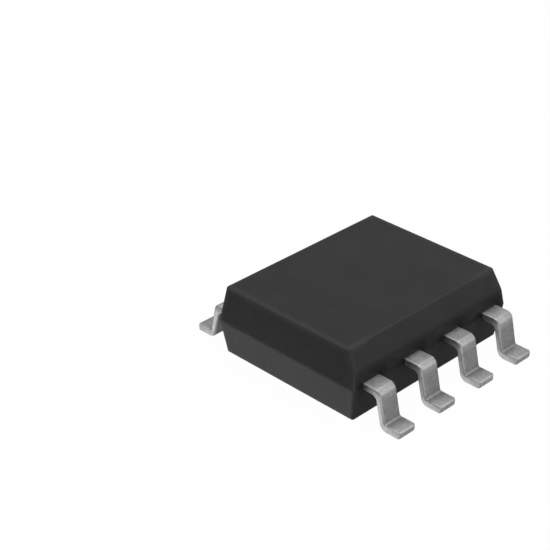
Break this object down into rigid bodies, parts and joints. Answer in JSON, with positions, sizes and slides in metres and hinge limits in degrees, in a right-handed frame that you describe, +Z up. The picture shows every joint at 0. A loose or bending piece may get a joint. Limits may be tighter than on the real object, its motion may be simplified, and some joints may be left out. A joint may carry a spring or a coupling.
{
  "type": "linear voltage regulator",
  "caption": "Small-outline power package: a drafted moulding with one bevelled long edge, gull-wing leads along both long sides and a flush heat pad in the underside.",
  "frame": {"origin": "middle of the plane that the feet stand on, under the centre of the moulding", "axes": "+Z up out of the top face; X along the rows of leads; +Y across them, away from the bevelled edge"},
  "size_m": [0.0048, 0.006, 0.0016],
  "materials": {
    "moulding": "matte, finely textured moulding compound",
    "plated_pad": "satin tin plating",
    "tinned_lead": "matte tin plating",
    "silicon": "polished",
    "bonding_layer": "silver-filled paste",
    "bond_wire": "drawn wire"
  },
  "bodies": {
    "root": {"mould_body": "moulding", "heat_pad": "plated_pad", "lead_1": "tinned_lead", "lead_2": "tinned_lead", "lead_3": "tinned_lead", "lead_4": "tinned_lead", "lead_5": "tinned_lead", "lead_6": "tinned_lead", "lead_7": "tinned_lead", "lead_8": "tinned_lead", "regulator_die": "silicon", "die_attach": "bonding_layer", "bond_wire_1": "bond_wire", "bond_wire_2": "bond_wire", "bond_wire_3": "bond_wire", "bond_wire_4": "bond_wire", "bond_wire_5": "bond_wire", "bond_wire_6": "bond_wire", "bond_wire_7": "bond_wire", "bond_wire_8": "bond_wire"}
  },
  "joints": []
}
